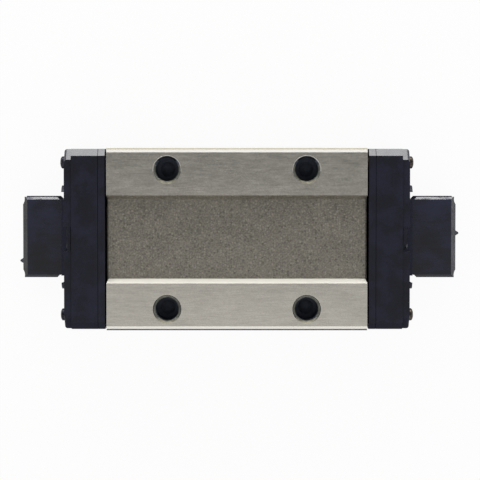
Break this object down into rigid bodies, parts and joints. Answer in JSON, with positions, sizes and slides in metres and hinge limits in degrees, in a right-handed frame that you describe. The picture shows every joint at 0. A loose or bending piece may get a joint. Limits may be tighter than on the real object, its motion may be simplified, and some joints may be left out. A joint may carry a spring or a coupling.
{
  "type": "linear guide carriage",
  "caption": "Square ball carriage of a linear guide with plastic end caps, tapped mounting face, recirculating balls and a plastic transport rail sliding through it.",
  "frame": {"origin": "bottom centre of the bounding box: on the underside of the carriage, under the middle of the block", "axes": "+X along the rail, +Y across it, +Z square to the mounting face, out of it"},
  "size_m": [0.0843, 0.034, 0.021],
  "materials": {
    "ground_steel": "ground hardened steel",
    "ball_steel": "polished bearing steel",
    "screw_steel": "black oxide",
    "black_resin": "satin moulded",
    "seal_plate": "satin moulded",
    "seal_rubber": "smooth rubber",
    "guide_resin": "natural moulded",
    "dummy_plastic": "glossy extruded"
  },
  "bodies": {
    "carriage": {"carriage_block": "ground_steel", "return_plate_left": "black_resin", "return_plate_right": "black_resin", "end_cap_left": "black_resin", "end_cap_right": "black_resin", "seal_plate_left": "seal_plate", "seal_plate_right": "seal_plate", "seal_lip_left": "seal_rubber", "seal_lip_right": "seal_rubber", "grease_plug_left": "black_resin", "grease_plug_right": "black_resin", "end_screw_left_front": "screw_steel", "end_screw_left_back": "screw_steel", "end_screw_right_front": "screw_steel", "end_screw_right_back": "screw_steel", "turn_guide_left_front_upper": "guide_resin", "turn_guide_left_front_lower": "guide_resin", "turn_guide_left_back_upper": "guide_resin", "turn_guide_left_back_lower": "guide_resin", "turn_guide_right_front_upper": "guide_resin", "turn_guide_right_front_lower": "guide_resin", "turn_guide_right_back_upper": "guide_resin", "turn_guide_right_back_lower": "guide_resin", "return_tube_front_upper": "guide_resin", "return_tube_front_lower": "guide_resin", "return_tube_back_upper": "guide_resin", "return_tube_back_lower": "guide_resin", "ball_chain_front_upper": "ball_steel", "ball_chain_front_lower": "ball_steel", "ball_chain_back_upper": "ball_steel", "ball_chain_back_lower": "ball_steel", "ball_keeper_front": "guide_resin", "ball_keeper_back": "guide_resin", "ceiling_retainer": "guide_resin", "under_seal_front": "seal_rubber", "under_seal_back": "seal_rubber"},
    "dummy_rail": {"dummy_rail": "dummy_plastic"}
  },
  "joints": [
    {"name": "rail_slide", "type": "slide", "parent": "carriage", "child": "dummy_rail", "axis": [1, 0, 0], "range_m": [-0.062, 0.061]}
  ]
}
